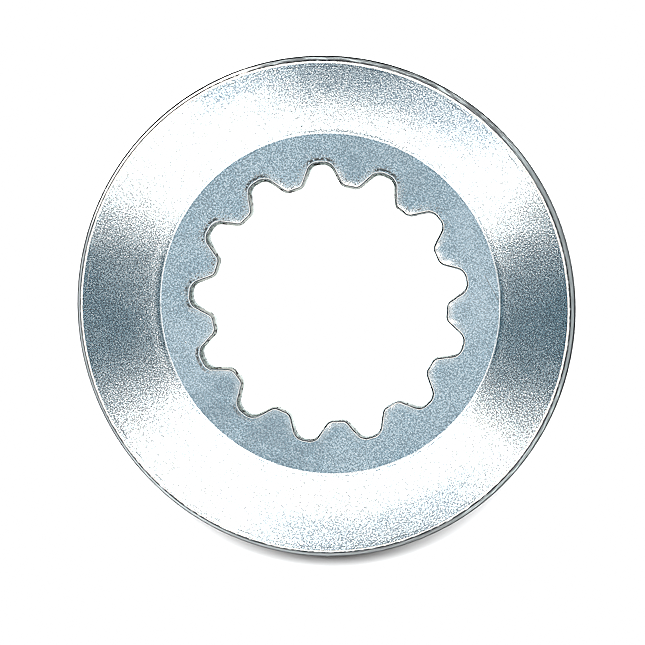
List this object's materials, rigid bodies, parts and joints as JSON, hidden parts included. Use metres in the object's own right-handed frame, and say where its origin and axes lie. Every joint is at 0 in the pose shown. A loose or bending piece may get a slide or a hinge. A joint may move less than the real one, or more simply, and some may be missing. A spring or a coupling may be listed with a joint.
{
  "type": "splined dished washer",
  "caption": "Dished steel washer with a flat inner ring, an internal spline and a conical flange; slides on a splined countershaft and bears on the sprocket.",
  "frame": {"origin": "on the washer's axis, level with the flat back of the inner ring that it rests on", "axes": "+Z along the washer's axis, from the flat back towards the open side of the dish; one spline notch is centred on +Y"},
  "size_m": [0.0478, 0.0478, 0.0052],
  "materials": {
    "zinc_plate": "bright zinc plate on rolled sheet steel, satin, fine grain"
  },
  "bodies": {
    "root": {"countershaft_washer": "zinc_plate"}
  },
  "joints": []
}
